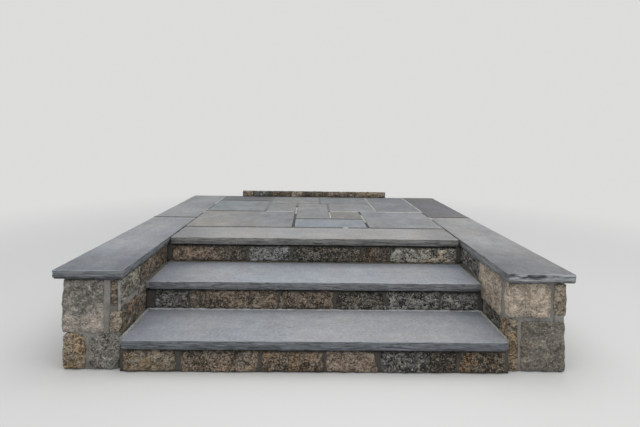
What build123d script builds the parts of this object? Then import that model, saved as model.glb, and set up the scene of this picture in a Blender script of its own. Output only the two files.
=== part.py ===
"""Outdoor stone steps: two bluestone treads and a landing between two rubble cheek walls.

Millimetres. X runs across the steps, +Y towards the house, +Z up. The origin is on the ground,
in the middle of the footprint. The house wall meets the back face.
"""

import os

from build123d import *

# Flight
rise = 178.0
run = 381.0
tread_length = 2032.0
tread_thickness = 50.0
nosing_overhang = 16.0
riser_thickness = 90.0
risers_to_landing = 3

# Cheek walls
tread_end_joint = 14.0
wall_thickness = 305.0
wall_setback = 38.0
rear_wall_thickness = 200.0

# Coping
coping_width = 362.0
coping_thickness = 50.0
coping_inner_overhang = 8.0
coping_front_overhang = 20.0
coping_joint = 12.0
left_coping_front_length = 1455.0
right_coping_front_length = 1555.0

# Landing
landing_depth = 2010.0
slab_thickness = 50.0
slab_joint = 18.0
pointing_recess = 4.0
nosing_slab_depth = 350.0
slab_arris = 3.0

# Joint lines of the landing: across from the middle, forward ones from the nosing slab's back
# edge, rear ones from the house wall
left_field_line = -465.0
middle_left_line = -175.0
door_line = 59.0
middle_right_line = 137.0
right_field_line = 419.0
rear_right_line = 583.0
middle_slab_depth = 350.0
left_slab_depth = 686.0
right_slab_depth = 704.0
door_slab_depth = 501.0
rear_left_slab_depth = 339.0

# Stone course under the door sill
sill_length = 1660.0
sill_height = 66.0
sill_thickness = 42.0

# Edges of the cut stone
tread_arris = 4.0
rock_face_pitch = 7.0

# Worked out from the sizes above
landing_height = risers_to_landing * rise
flight_depth = (risers_to_landing - 1) * run
overall_depth = flight_depth + landing_depth
front = -overall_depth / 2
back = overall_depth / 2
passage_half = tread_length / 2 + tread_end_joint
wall_front = front + wall_setback
wall_length = back - wall_front
wall_height = landing_height - coping_thickness
wall_centre_x = passage_half + wall_thickness / 2
rear_wall_front = back - rear_wall_thickness
coping_inner_x = passage_half - coping_inner_overhang
coping_centre_x = coping_inner_x + coping_width / 2
coping_front = wall_front - coping_front_overhang
landing_front = front + flight_depth
slab_bed_top = landing_height - slab_thickness
tread_depth = run + nosing_overhang + riser_thickness

os.makedirs("parts", exist_ok=True)


def save(part, label):
    """Label a finished piece and write it."""
    part.label = label
    export_step(part, f"parts/{label}.step")


def step_front(step):
    """Y of the nosing of one step, counted from 0 at the bottom."""
    return front + step * run


def riser_front(step):
    """Y of the face of the riser under one step's nosing."""
    return step_front(step) + nosing_overhang


def core_front(step):
    """Y of the concrete face that one riser is built against."""
    return riser_front(step) + riser_thickness


def tread_underside(step):
    """Z of the underside of one step's slab."""
    thickness = tread_thickness if step < risers_to_landing - 1 else slab_thickness
    return (step + 1) * rise - thickness


def nosing_slab(depth, thickness, y_front, z_top):
    """A full-length slab with an eased top arris over a front edge that bellies back to its foot."""
    with BuildPart() as slab:
        with BuildSketch(Plane.YZ.offset(-tread_length / 2)):
            with BuildLine():
                top_back = (y_front + depth, z_top)
                top_front = (y_front + tread_arris, z_top)
                face_top = (y_front, z_top - tread_arris)
                face_foot = (y_front + rock_face_pitch, z_top - thickness)
                foot_back = (y_front + depth, z_top - thickness)
                belly = (y_front + rock_face_pitch / 4, z_top - (thickness + tread_arris) / 2)
                Polyline(foot_back, top_back, top_front, face_top)
                ThreePointArc(face_top, belly, face_foot)
                Line(face_foot, foot_back)
            make_face()
        extrude(amount=tread_length)
    return slab.part


def coping_slab(centre_x, y_front, y_back, pitched_front):
    """A length of flat coping whose showing edges are pitched back under an eased arris."""
    with BuildPart() as slab:
        with BuildSketch(Plane.XY.offset(landing_height - coping_thickness)):
            with Locations((centre_x, (y_front + y_back) / 2)):
                Rectangle(coping_width, y_back - y_front)
        extrude(amount=coping_thickness)
        top_edges = slab.faces().sort_by(Axis.Z)[-1].edges()
        foot_edges = slab.faces().sort_by(Axis.Z)[0].edges()
        top_sides = top_edges.filter_by(Axis.Y)
        foot_sides = foot_edges.filter_by(Axis.Y)
        if pitched_front:
            top_sides += [top_edges.filter_by(Axis.X).sort_by(Axis.Y)[0]]
            foot_sides += [foot_edges.filter_by(Axis.X).sort_by(Axis.Y)[0]]
        chamfer(top_sides, length=slab_arris)
        chamfer(foot_sides, length=rock_face_pitch)
    return slab.part


# Concrete core, one course to each step, each standing back behind its riser
core_names = ["core_lower_course", "core_middle_course", "core_upper_course"]
for step, core_name in enumerate(core_names):
    course_foot = tread_underside(step - 1) if step else 0.0
    with BuildPart() as core_course:
        with BuildSketch(Plane.XY.offset(course_foot)):
            with Locations((0, (core_front(step) + rear_wall_front) / 2)):
                Rectangle(2 * passage_half, rear_wall_front - core_front(step))
        extrude(amount=tread_underside(step) - course_foot)
    save(core_course.part, core_name)

# Risers of rubble stone, each standing on the tread in front of it
riser_names = ["riser_lower", "riser_middle", "riser_upper"]
for step, riser_name in enumerate(riser_names):
    with BuildPart() as riser:
        with BuildSketch(Plane.XY.offset(step * rise)):
            with Locations((0, riser_front(step) + riser_thickness / 2)):
                Rectangle(2 * passage_half, riser_thickness)
        extrude(amount=tread_underside(step) - step * rise)
    save(riser.part, riser_name)

# Treads, which run back under the riser above, and the slab along the landing's front edge
save(nosing_slab(tread_depth, tread_thickness, step_front(0), rise), "tread_lower")
save(nosing_slab(tread_depth, tread_thickness, step_front(1), 2 * rise), "tread_upper")
save(
    nosing_slab(nosing_slab_depth, slab_thickness, landing_front, landing_height),
    "landing_nosing",
)

# Cheek walls, from the pier-like front end back to the house
for side, side_name in ((-1, "left"), (1, "right")):
    with BuildPart() as cheek_wall:
        with BuildSketch(Plane.XY):
            with Locations((side * wall_centre_x, wall_front + wall_length / 2)):
                Rectangle(wall_thickness, wall_length)
        extrude(amount=wall_height)
    save(cheek_wall.part, f"{side_name}_cheek_wall")

# Rear wall, between the cheek walls and against the house
with BuildPart() as rear_wall:
    with BuildSketch(Plane.XY):
        with Locations((0, (rear_wall_front + back) / 2)):
            Rectangle(2 * passage_half, rear_wall_thickness)
    extrude(amount=wall_height)
save(rear_wall.part, "rear_wall")

# Coping, two slabs to a side with a pointed joint between them
for side, side_name, front_length in (
    (-1, "left", left_coping_front_length),
    (1, "right", right_coping_front_length),
):
    joint_y = coping_front + front_length
    centre_x = side * coping_centre_x
    front_slab = coping_slab(centre_x, coping_front, joint_y, True)
    rear_slab = coping_slab(centre_x, joint_y + coping_joint, back, False)
    save(front_slab, f"{side_name}_coping_front")
    save(rear_slab, f"{side_name}_coping_rear")

# Landing paving, laid out between joint lines: left, right, front, back
field_front = landing_front + nosing_slab_depth
middle_row_y = field_front + middle_slab_depth
left_row_y = field_front + left_slab_depth
right_row_y = field_front + right_slab_depth
door_row_y = back - door_slab_depth
rear_left_y = back - rear_left_slab_depth
paving = {
    "landing_slab_front_left": (-coping_inner_x, middle_left_line, field_front, left_row_y),
    "landing_slab_front_middle": (middle_left_line, right_field_line, field_front, middle_row_y),
    "landing_slab_front_right": (right_field_line, coping_inner_x, field_front, right_row_y),
    "landing_slab_centre": (middle_left_line, middle_right_line, middle_row_y, door_row_y),
    "landing_slab_small": (middle_right_line, right_field_line, middle_row_y, right_row_y),
    "landing_slab_left": (-coping_inner_x, left_field_line, left_row_y, rear_left_y),
    "landing_slab_inner_left": (left_field_line, middle_left_line, left_row_y, door_row_y),
    "landing_slab_inner_right": (middle_right_line, rear_right_line, right_row_y, door_row_y),
    "landing_slab_right": (rear_right_line, coping_inner_x, right_row_y, back),
    "landing_slab_rear_left": (-coping_inner_x, left_field_line, rear_left_y, back),
    "landing_slab_door_left": (left_field_line, door_line, door_row_y, back),
    "landing_slab_door_right": (door_line, rear_right_line, door_row_y, back),
}

for slab_name, (left_line, right_line, front_line, back_line) in paving.items():
    with BuildPart() as paving_slab:
        with BuildSketch(Plane.XY.offset(slab_bed_top)):
            with Locations(((left_line + right_line) / 2, (front_line + back_line) / 2)):
                Rectangle(right_line - left_line - slab_joint, back_line - front_line - slab_joint)
        extrude(amount=slab_thickness)
        chamfer(paving_slab.faces().sort_by(Axis.Z)[-1].edges(), length=slab_arris)
    save(paving_slab.part, slab_name)

# Mortar between the paving slabs, pointed a little below their faces
with BuildPart() as landing_pointing:
    with BuildSketch(Plane.XY.offset(slab_bed_top)):
        with Locations((0, (field_front + back) / 2)):
            Rectangle(2 * coping_inner_x, back - field_front)
        for left_line, right_line, front_line, back_line in paving.values():
            with Locations(((left_line + right_line) / 2, (front_line + back_line) / 2)):
                Rectangle(
                    right_line - left_line - slab_joint,
                    back_line - front_line - slab_joint,
                    mode=Mode.SUBTRACT,
                )
    extrude(amount=slab_thickness - pointing_recess)
save(landing_pointing.part, "landing_pointing")

# Mortar in the joint of each coping
for side, side_name, front_length in (
    (-1, "left", left_coping_front_length),
    (1, "right", right_coping_front_length),
):
    with BuildPart() as coping_pointing:
        with BuildSketch(Plane.XY.offset(landing_height - coping_thickness)):
            with Locations((side * coping_centre_x, coping_front + front_length + coping_joint / 2)):
                Rectangle(coping_width - 2 * rock_face_pitch, coping_joint)
        extrude(amount=coping_thickness - pointing_recess)
    save(coping_pointing.part, f"{side_name}_coping_pointing")

# Low course of stone along the house wall, under the door sill
with BuildPart() as door_sill_course:
    with BuildSketch(Plane.XY.offset(landing_height)):
        with Locations((0, back - sill_thickness / 2)):
            Rectangle(sill_length, sill_thickness)
    extrude(amount=sill_height)
save(door_sill_course.part, "door_sill_course")
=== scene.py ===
"""Looks of the outdoor stone steps: bluestone slabs over split field stone laid in mortar.

Metres. +X is to the right seen from the foot of the steps, +Y towards the back, +Z up. The
ground is at 0. Tables of stones are in millimetres, as a mason would measure them.
"""

import math
import random
from collections import namedtuple
from functools import cached_property

import bpy
import numpy as np
from mathutils import Matrix, Vector, noise


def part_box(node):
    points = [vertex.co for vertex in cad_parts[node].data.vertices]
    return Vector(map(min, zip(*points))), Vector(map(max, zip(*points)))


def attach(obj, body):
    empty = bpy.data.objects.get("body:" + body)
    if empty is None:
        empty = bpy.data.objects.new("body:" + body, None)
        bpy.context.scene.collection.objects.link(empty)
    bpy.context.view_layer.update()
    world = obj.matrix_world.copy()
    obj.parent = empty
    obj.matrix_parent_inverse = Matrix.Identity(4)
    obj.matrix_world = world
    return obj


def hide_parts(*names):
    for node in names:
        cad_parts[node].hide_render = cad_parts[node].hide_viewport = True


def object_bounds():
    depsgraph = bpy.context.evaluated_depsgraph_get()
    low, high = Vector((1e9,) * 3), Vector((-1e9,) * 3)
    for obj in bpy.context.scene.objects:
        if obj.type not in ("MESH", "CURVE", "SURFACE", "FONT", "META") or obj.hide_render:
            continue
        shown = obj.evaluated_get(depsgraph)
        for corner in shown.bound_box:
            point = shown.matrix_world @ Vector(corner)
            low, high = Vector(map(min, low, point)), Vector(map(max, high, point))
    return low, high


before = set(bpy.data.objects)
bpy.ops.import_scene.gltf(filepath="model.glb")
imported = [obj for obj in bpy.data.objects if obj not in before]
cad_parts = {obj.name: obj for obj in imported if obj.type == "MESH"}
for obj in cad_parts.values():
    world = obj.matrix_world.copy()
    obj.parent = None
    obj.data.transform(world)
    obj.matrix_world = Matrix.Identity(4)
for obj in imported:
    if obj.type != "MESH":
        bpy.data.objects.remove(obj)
cad_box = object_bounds()

MM = 0.001

# Lines of the masonry, read from the frame
wall_low, wall_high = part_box("right_cheek_wall")
passage_x, wall_front_y, _ = wall_low
wall_outer_x, wall_back_y, wall_top_z = wall_high
first_nosing_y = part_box("tread_lower")[0].y

# Stones: spacing of their points where the photo shows them and elsewhere, how far their face stands
# in and their back goes, their rounding, the most that goes off a corner and off a side, how wide the
# rim is that gets painted highlights and painted shade, how high lime climbs, how far a pier's stones
# stand in, and how far from the middle the stones of the passage's sides begin and end
shown_spacing, plain_spacing = 0.0065, 0.010
stone_setback, facing_depth = 0.004, 0.050
stone_radius = 0.014
corner_cut, side_cut = 0.012, 0.011
rim_width, bloom_height = 0.018, 0.050
pier_setback = 0.003
passage_stone_reach = (1.032, 1.080)

# Mortar: how far it stands back from a wall's face and from a riser's, its rounding, how deep and how
# high the shadow line under a slab is, how far mortar runs into a wall beside it and how far struck
# mortar lies below the paving
mortar_recess, riser_recess = 0.014, 0.013
mortar_rounding = 0.026
shadow_depth, shadow_gap = 0.036, 0.013
into_wall = mortar_recess + 0.002
struck_depth = 0.0028

# The riser that stands on each tread
RISER_ABOVE = {"tread_lower": "riser_middle", "tread_upper": "riser_upper"}

# Field stone by look: body, stain, how much is stained, strength of the speckle
STONE_KINDS = {
    "grey granite": ((0.190, 0.180, 0.160), (0.270, 0.240, 0.205), 0.45, 0.60),
    "even granite": ((0.262, 0.247, 0.220), (0.300, 0.280, 0.245), 0.45, 0.48),
    "pink granite": ((0.212, 0.201, 0.178), (0.500, 0.438, 0.378), 0.50, 0.27),
    "olive granite": ((0.185, 0.175, 0.145), (0.270, 0.245, 0.190), 0.35, 0.58),
    "pale buff": ((0.415, 0.345, 0.278), (0.385, 0.310, 0.236), 0.35, 0.26),
    "buff": ((0.270, 0.225, 0.172), (0.330, 0.275, 0.205), 0.45, 0.42),
    "tan": ((0.270, 0.205, 0.155), (0.330, 0.265, 0.210), 0.45, 0.45),
    "ochre": ((0.275, 0.230, 0.175), (0.310, 0.215, 0.125), 0.50, 0.52),
    "rust": ((0.165, 0.130, 0.095), (0.262, 0.162, 0.090), 0.42, 0.70),
    "umber": ((0.100, 0.082, 0.064), (0.160, 0.110, 0.070), 0.40, 0.60),
    "brown": ((0.155, 0.124, 0.096), (0.240, 0.180, 0.130), 0.50, 0.65),
    "taupe": ((0.196, 0.177, 0.150), (0.236, 0.204, 0.163), 0.40, 0.30),
    "slate grey": ((0.112, 0.110, 0.104), (0.155, 0.150, 0.140), 0.40, 0.80),
    "light grey": ((0.185, 0.187, 0.185), (0.240, 0.238, 0.225), 0.40, 0.80),
    "dark schist": ((0.080, 0.075, 0.065), (0.135, 0.110, 0.082), 0.45, 0.75),
    "black and white": ((0.115, 0.113, 0.106), (0.270, 0.262, 0.240), 0.38, 1.00),
    "lichen grey": ((0.215, 0.213, 0.188), (0.320, 0.262, 0.190), 0.35, 0.85),
}
COMMON_KINDS = [
    "grey granite", "pink granite", "buff", "ochre", "taupe", "brown", "slate grey", "pale buff", "rust",
]

# Stones of each riser: from and to across the steps, how far the right end leans at its top, kind,
# how light the stone is, and how much lime has bloomed at its foot
RISER_STONES = {
    "riser_lower": [
        (-1013, -738, 2, "ochre", 0.95, 0.0), (-712, -303, 3, "brown", 1.20, 0.2),
        (-291, 44, -2, "rust", 1.10, 0.0), (56, 322, -14, "tan", 1.05, 0.0),
        (342, 607, 0, "slate grey", 1.00, 0.45), (605, 758, 12, "umber", 0.65, 0.0),
        (761, 1014, 0, "rust", 0.80, 0.0),
    ],
    "riser_middle": [
        (-987, -775, -3, "slate grey", 1.30, 0.0), (-773, -710, 2, "tan", 0.85, 0.0),
        (-708, -232, 0, "brown", 1.15, 0.0), (-222, 112, 2, "brown", 1.00, 0.0),
        (132, 431, -10, "dark schist", 1.00, 0.50), (442, 772, 11, "black and white", 1.15, 0.68),
        (775, 1010, 0, "slate grey", 1.40, 0.35),
    ],
    "riser_upper": [
        (-1008, -589, 0, "brown", 1.09, 0.0), (-590, -480, 3, "dark schist", 1.00, 0.0),
        (-474, -171, 2, "light grey", 1.10, 0.0), (-158, 332, 0, "dark schist", 0.88, 0.0),
        (331, 524, 9, "umber", 1.00, 0.0), (535, 1006, 0, "lichen grey", 1.38, 0.3),
    ],
}

# Stones of the sill course
SILL_STONES = [
    (-822, -708, "ochre"), (-702, -543, "light grey"), (-537, -269, "umber"), (-263, -140, "buff"),
    (-134, 94, "umber"), (100, 469, "brown"), (475, 822, "ochre"),
]

# Sides that a stone shows: the axis across the side, and which way it looks
FRONT = (1, -1)
BACK = (1, 1)
LEFT = (0, -1)
RIGHT = (0, 1)

# Stones of each wall's pier-like front: from and to across, how far back behind the first nosing,
# from and to in height, kind, sides shown, shape
PIER_STONES = {
    "left": [
        (-1343, -1121, 290, 196, 477, "pink granite", [FRONT, LEFT],
         dict(radius=0.008, crown=(0.006, 0.008), drift=(0.05, -0.30))),
        (-1094, -1047, 90, 336, 477, "brown", [FRONT], dict(radius=0.010)),
        (-1093, -1032, 62, 202, 312, "buff", [FRONT, RIGHT], dict(radius=0.012, lightness=1.15)),
        (-1343, -1217, 330, 2, 188, "ochre", [FRONT, LEFT],
         dict(radius=0.016, crown=(0.006, 0.008), cut=0.020, lightness=1.20)),
        (-1206, -1032, 200, 1, 196, "even granite", [FRONT, RIGHT],
         dict(radius=0.020, crown=(0.007, 0.009), cut=0.040)),
    ],
    "right": [
        (1032, 1266, 102, 294, 473, "pale buff", [FRONT, LEFT],
         dict(radius=0.006, crown=(0.006, 0.008), lightness=1.44)),
        (1284, 1347, 250, 299, 473, "buff", [FRONT, RIGHT], dict(radius=0.009, lightness=1.40)),
        (1032, 1088, 144, 1, 280, "ochre", [FRONT, LEFT],
         dict(radius=0.010, drift=(0.0, -0.15), lightness=1.03)),
        (1104, 1345, 320, 1, 273, "taupe", [FRONT, RIGHT],
         dict(radius=0.016, crown=(0.007, 0.009), drift=(-0.25, 0.0), lightness=1.1)),
    ],
}

# Stones of each wall's passage side: from and to behind the first nosing and in height, kind, shape
PASSAGE_STONES = {
    "left": [
        (52, 296, 350, 479, "olive granite", dict(radius=0.010, lightness=1.35)),
        (58, 272, 184, 320, "umber", dict(lightness=1.54)), (280, 404, 176, 296, "brown", {}),
        (286, 404, 300, 345, "olive granite", {}), (308, 360, 354, 482, "umber", {}),
        (368, 560, 362, 482, "brown", {}), (568, 674, 362, 482, "rust", {}),
        (682, 790, 362, 482, "umber", {}),
    ],
    "right": [
        (150, 462, 254, 479, "pale buff", dict(radius=0.010, lightness=1.20)),
        (158, 356, 181, 247, "dark schist", {}), (472, 642, 364, 482, "slate grey", dict(lightness=1.3)),
        (650, 790, 364, 482, "black and white", {}),
    ],
}

WALL_MORTAR = (0.300, 0.291, 0.272)
RISER_MORTAR = (0.104, 0.099, 0.088)
PALE_MORTAR = (0.345, 0.342, 0.330)
DARK_MORTAR = (0.120, 0.108, 0.088)
NEW_MORTAR = (0.450, 0.442, 0.415)
LIME = (0.410, 0.412, 0.425)
OLD_MORTAR = (0.092, 0.086, 0.074)
FADED_MORTAR = (0.212, 0.212, 0.209)

# Mortar smeared over each wall's front: from and to across and in height, how far in from the
# wall's front, how thick, tone and the spacing of its points
SMEARS = {
    "left": [
        (-1129, -1092, 190, 478, 5, 30, WALL_MORTAR, 0.010),
        (-1052, -1041, 310, 478, 5, 20, PALE_MORTAR, 0.008),
    ],
    "right": [(1285, 1337, 266, 306, 6, 64, WALL_MORTAR, 0.010)],
}


class Wire:
    """One socket of a node tree. Arithmetic on it adds nodes."""

    def __init__(self, graph, socket):
        self.graph = graph
        self.socket = socket

    def __add__(self, other):
        return self.graph.math("ADD", self, other)

    def __sub__(self, other):
        return self.graph.math("SUBTRACT", self, other)

    def __rsub__(self, other):
        return self.graph.math("SUBTRACT", other, self)

    def __mul__(self, other):
        """Numbers multiply each other. A colour or a place is scaled by one number or part by part."""
        if self.socket.type == "VALUE":
            if isinstance(other, tuple):
                return self.graph.vector("SCALE", {0: other, 3: self})
            return self.graph.math("MULTIPLY", self, other)
        if isinstance(other, tuple):
            return self.graph.vector("MULTIPLY", {0: self, 1: other})
        return self.graph.vector("SCALE", {0: self, 3: other})

    def __rtruediv__(self, other):
        return self.graph.math("DIVIDE", other, self)

    def __abs__(self):
        return self.graph.math("ABSOLUTE", self)

    def step(self, low, high):
        """A smooth step from 0 at low to 1 at high."""
        values = {"Value": self, "From Min": low, "From Max": high}
        return self.graph.node("ShaderNodeMapRange", values, interpolation_type="SMOOTHSTEP")

    __radd__ = __add__
    __rmul__ = __mul__


class Graph:
    """A node tree under construction, of a finish or of geometry."""

    def __init__(self, tree, place_node, place_output=0):
        self.tree = tree
        self.place_node = place_node
        self.place_output = place_output

    @cached_property
    def place(self):
        """Where the tree is read."""
        return self.node(self.place_node, output=self.place_output)

    def node(self, kind, values=None, output=0, **settings):
        """Add a node: its settings first, then a value or a wire for each socket named."""
        made = self.tree.nodes.new(kind)
        for key, value in settings.items():
            setattr(made, key, value)
        for key, value in (values or {}).items():
            socket = made.inputs[key]
            if isinstance(value, Wire):
                self.tree.links.new(value.socket, socket)
            else:
                socket.default_value = (*value, 1.0) if socket.type == "RGBA" else value
        return Wire(self, made.outputs[output]) if made.outputs else None

    def math(self, operation, first, second=0.0):
        """A Math node."""
        return self.node("ShaderNodeMath", {0: first, 1: second}, operation=operation)

    def vector(self, operation, values, output=0):
        """A Vector Math node."""
        return self.node("ShaderNodeVectorMath", values, output, operation=operation)

    def noise(self, scale, detail, roughness, seed=None, swirl=0.0, stretch=None):
        """Noise from 0 to 1, at a scale in lumps to the metre."""
        values = {"Scale": scale, "Detail": detail, "Roughness": roughness, "Distortion": swirl}
        values["Vector"] = self.place * stretch if stretch else self.place
        if seed is not None:
            values["W"] = seed
        return self.node("ShaderNodeTexNoise", values, noise_dimensions="3D" if seed is None else "4D")

    def mix(self, factor, first, second):
        """A colour between two others."""
        return self.node("ShaderNodeMix", {0: factor, 6: first, 7: second}, 2, data_type="RGBA")

    def coats(self, colour, *coats):
        """A colour under others, each given with the share of it that covers."""
        for share, coat in coats:
            colour = self.mix(share, colour, coat)
        return colour

    def attribute(self, name, output="Fac"):
        """One of a mesh's own attributes."""
        return self.node("ShaderNodeAttribute", output=output, attribute_name=name)


def blank_graph(owner):
    """The emptied node tree of a material or a world."""
    owner.use_nodes = True
    owner.node_tree.nodes.clear()
    return Graph(owner.node_tree, "ShaderNodeTexCoord", "Object")


def make_finish(paint):
    """A material whose colour, roughness and height in metres come from a paint function."""
    material = bpy.data.materials.new(paint.__name__.removeprefix("paint_"))
    graph = blank_graph(material)
    colour, roughness, height = paint(graph)
    bump = graph.node("ShaderNodeBump", {"Strength": 1.0, "Distance": 1.0, "Height": height})
    shader = graph.node("ShaderNodeBsdfPrincipled", {
        "Base Color": colour, "Roughness": roughness, "Normal": bump, "Specular IOR Level": 0.35,
    })
    graph.node("ShaderNodeOutputMaterial", {"Surface": shader})
    return material


def paint_bluestone(graph):
    """Bluestone: a fine-grained, clouded top, and dark split edges in thin layers, with painted shade in
    their grooves and a painted highlight, with some wear, on the arris.
    """
    tone, edge_tone = graph.attribute("slab_tone", "Color"), graph.attribute("edge_tone", "Color")
    edge, depth = graph.attribute("slab_edge"), graph.attribute("split_depth")

    clouds = graph.noise(2.6, 4.0, 0.6)
    mottle = graph.noise(18.0, 5.0, 0.64)
    specks = graph.noise(62.0, 4.0, 0.66)
    grain = graph.noise(260.0, 3.0, 0.7)
    warm = graph.noise(1.8, 4.0, 0.60).step(0.36, 0.66)
    stains = graph.noise(7.0, 5.0, 0.70).step(0.58, 0.74)
    streaks = graph.noise(1.0, 4.0, 0.6, stretch=(2.2, 13.0, 8.0))
    shading = clouds * 0.45 + mottle * 0.55 + specks * 0.90 + grain * 0.45 + streaks * 0.25 - 0.25
    flat_colour = graph.mix(warm, tone * (0.98, 1.00, 1.02), tone * (1.02, 1.00, 0.97))
    flat_colour = flat_colour * (shading - stains * 0.14)

    layers = graph.noise(1.0, 3.0, 0.55, stretch=(6.0, 6.0, 125.0))
    seams = graph.noise(1.0, 3.0, 0.5, stretch=(5.0, 5.0, 60.0))
    blotches = graph.noise(26.0, 4.0, 0.62)
    layered = graph.noise(9.0, 3.0, 0.6).step(0.40, 0.58)
    seam = abs(seams - 0.5).step(0.030, 0.008)
    edge_colour = graph.coats(
        edge_tone,
        (layers.step(0.53, 0.60) * layered * 0.60, edge_tone * 1.50),
        (layers.step(0.44, 0.38) * layered * 0.65, edge_tone * 0.50),
        (seam * 0.55, edge_tone * 0.30),
    )
    # Painted shade: the split sides darken with the depth of their grooves and broken foot.
    groove_shade = depth * 0.20 + depth * depth * 0.50
    edge_colour = edge_colour * (0.72 + blotches * 0.66 + grain * 0.16 - groove_shade)

    # The arris between the top and the split sides is lighter: some wear and a painted highlight.
    arris = edge * (1.0 - edge) * 3.2
    colour = graph.coats(flat_colour, (edge, edge_colour), (arris, edge_tone * 2.0))
    flat_height = mottle * 0.0016 + specks * 0.0006 + grain * 0.0004
    split_height = layers * 0.0050 + blotches * 0.0030 + grain * 0.0007 - seam * 0.0020
    return colour, 0.62 + mottle * 0.25, flat_height * (1.0 - edge) + split_height * edge


def paint_field_stone(graph):
    """Split field stone: body and stain in zones, folds, minerals, cracks and lime; painted shade on the
    relief, in creases and at rims; painted highlights on arrises, ridges and glints.
    """
    tint, stain = graph.attribute("stone_tint", "Color"), graph.attribute("stone_stain", "Color")
    stained_share, speckle, seed, rim, bloom = (
        graph.attribute(name)
        for name in ("stained_share", "speckle", "stone_seed", "stone_rim", "stone_bloom")
    )

    zones = graph.noise(12.0, 5.0, 0.62, seed)
    patches = graph.noise(14.0, 5.0, 0.64, seed + 19.0)
    folds = graph.noise(15.0, 4.0, 0.58, seed + 7.0, swirl=1.6, stretch=(1.0, 1.0, 1.7))
    lumps = graph.noise(36.0, 3.0, 0.58, seed + 3.0, swirl=1.3)
    minerals = graph.noise(130.0, 3.0, 0.64, seed)
    grit = graph.noise(380.0, 2.0, 0.6)

    colour = graph.coats(
        tint,
        ((zones + (stained_share - 0.5) * 0.5).step(0.47, 0.55), stain),
        (patches.step(0.53, 0.59) * speckle * 0.95, tint * (0.46, 0.44, 0.42)),
        (patches.step(0.46, 0.40) * (0.15 + speckle * 0.45), stain * (1.45, 1.40, 1.36)),
    )
    # Mottle tied to the folds, lumps and minerals that also raise the bumps: partly the stone's own colour,
    # partly painted shade and light on its relief.
    relief = folds.step(0.42, 0.59) * 0.62 + lumps.step(0.43, 0.58) * 0.46
    relief = relief + minerals.step(0.40, 0.60) * 0.72 - 0.90
    colour = colour * graph.math("MAXIMUM", 1.02 + relief * (0.20 + speckle * 1.50), 0.10)

    dark = (minerals * 0.7 + folds * 0.3).step(0.45, 0.39) * speckle
    light = (minerals * 0.7 + lumps * 0.3).step(0.55, 0.60) * speckle
    glint = minerals.step(0.63, 0.69)
    vein = abs(patches - 0.5).step(0.020, 0.004) * lumps.step(0.42, 0.56) * speckle
    on_lump = lumps.step(0.46, 0.56)
    # Painted highlight: a thin light band beside each crease, as if its raised edge caught the light.
    ridge_highlight = folds.step(0.512, 0.524) * folds.step(0.560, 0.540) * on_lump
    # Dark cracks, partly painted shade in the creases that the height cuts.
    crack = abs(folds - 0.5).step(0.022, 0.006) * zones.step(0.46, 0.56)
    # Painted highlight on the stone's arrises, where they would catch the light.
    arris_highlight = rim.step(0.45, 0.80) * on_lump
    limed = (bloom + lumps * 2.0).step(1.34, 1.60)
    colour = graph.coats(
        colour,
        (dark * 0.85, (0.028, 0.026, 0.023)),
        (light * 0.75, (0.56, 0.53, 0.47)),
        (glint * 0.60, (0.72, 0.69, 0.62)),
        (vein * 0.55, (0.50, 0.45, 0.38)),
        (ridge_highlight * (0.15 + speckle * 0.45), stain * 2.1),
        (crack * (0.15 + speckle * 0.75), (0.032, 0.028, 0.022)),
        # painted shade along each stone's rim
        (rim * rim * (0.10 + lumps * 0.50), (0.060, 0.054, 0.044)),
        (arris_highlight * 0.45, tint * 2.0),
        (limed * 0.80, (0.50, 0.50, 0.48)),
    )
    height = folds * 0.0130 + abs(folds - 0.5) * 0.0200 + lumps * 0.0090 + minerals * 0.0034
    height = height + grit * 0.0007 - crack * 0.0030
    return colour * (0.86 + grit * 0.28), 0.80 + minerals * 0.16, height


def paint_mortar(graph):
    """Sandy mortar, struck smooth, dirty in patches."""
    tone = graph.attribute("mortar_tone", "Color")
    clouds = graph.noise(10.0, 5.0, 0.62)
    sand = graph.noise(330.0, 3.0, 0.7)
    pits = graph.noise(70.0, 4.0, 0.62)
    colour = graph.mix(clouds.step(0.48, 0.66) * 0.55, tone, tone * (0.50, 0.46, 0.40))
    height = clouds * 0.0040 + pits * 0.0035 + sand * 0.0010
    return colour * (0.40 + sand * 0.34 + pits * 0.87), 0.88 + sand * 0.10, height


def paint_pointing(graph):
    """Old mortar between the paving, darkened by grit."""
    clouds = graph.noise(14.0, 4.0, 0.6)
    sand = graph.noise(300.0, 3.0, 0.7)
    colour = graph.mix(clouds.step(0.36, 0.64), (0.062, 0.056, 0.046), (0.140, 0.130, 0.110))
    return colour * (0.80 + sand * 0.35), 0.90 + sand * 0.08, clouds * 0.0020 + sand * 0.0008


def paint_concrete(graph):
    """Plain poured concrete."""
    clouds = graph.noise(3.0, 5.0, 0.6)
    sand = graph.noise(260.0, 3.0, 0.7)
    colour = (0.34, 0.33, 0.31) * (0.7 + clouds * 0.4 + sand * 0.2)
    return colour, 0.85 + sand * 0.1, clouds * 0.001 + sand * 0.0006


bluestone, field_stone, mortar, pointing, concrete = (
    make_finish(paint)
    for paint in (paint_bluestone, paint_field_stone, paint_mortar, paint_pointing, paint_concrete)
)


def start_tree(name, numbers):
    """A geometry tree that takes a mesh, numbers and a material: its graph and its given wires."""
    tree = bpy.data.node_groups.new(name, "GeometryNodeTree")
    tree.is_modifier = True
    tree.interface.new_socket("Result", in_out="OUTPUT", socket_type="NodeSocketGeometry")
    inputs = {"Base": "Geometry", **dict.fromkeys(numbers, "Float"), "Finish": "Material"}
    for label, kind in inputs.items():
        tree.interface.new_socket(label, in_out="INPUT", socket_type=f"NodeSocket{kind}")
    graph = Graph(tree, "GeometryNodeInputPosition")
    given = tree.nodes.new("NodeGroupInput")
    return graph, {socket.name: Wire(graph, socket) for socket in given.outputs if socket.name}


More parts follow.
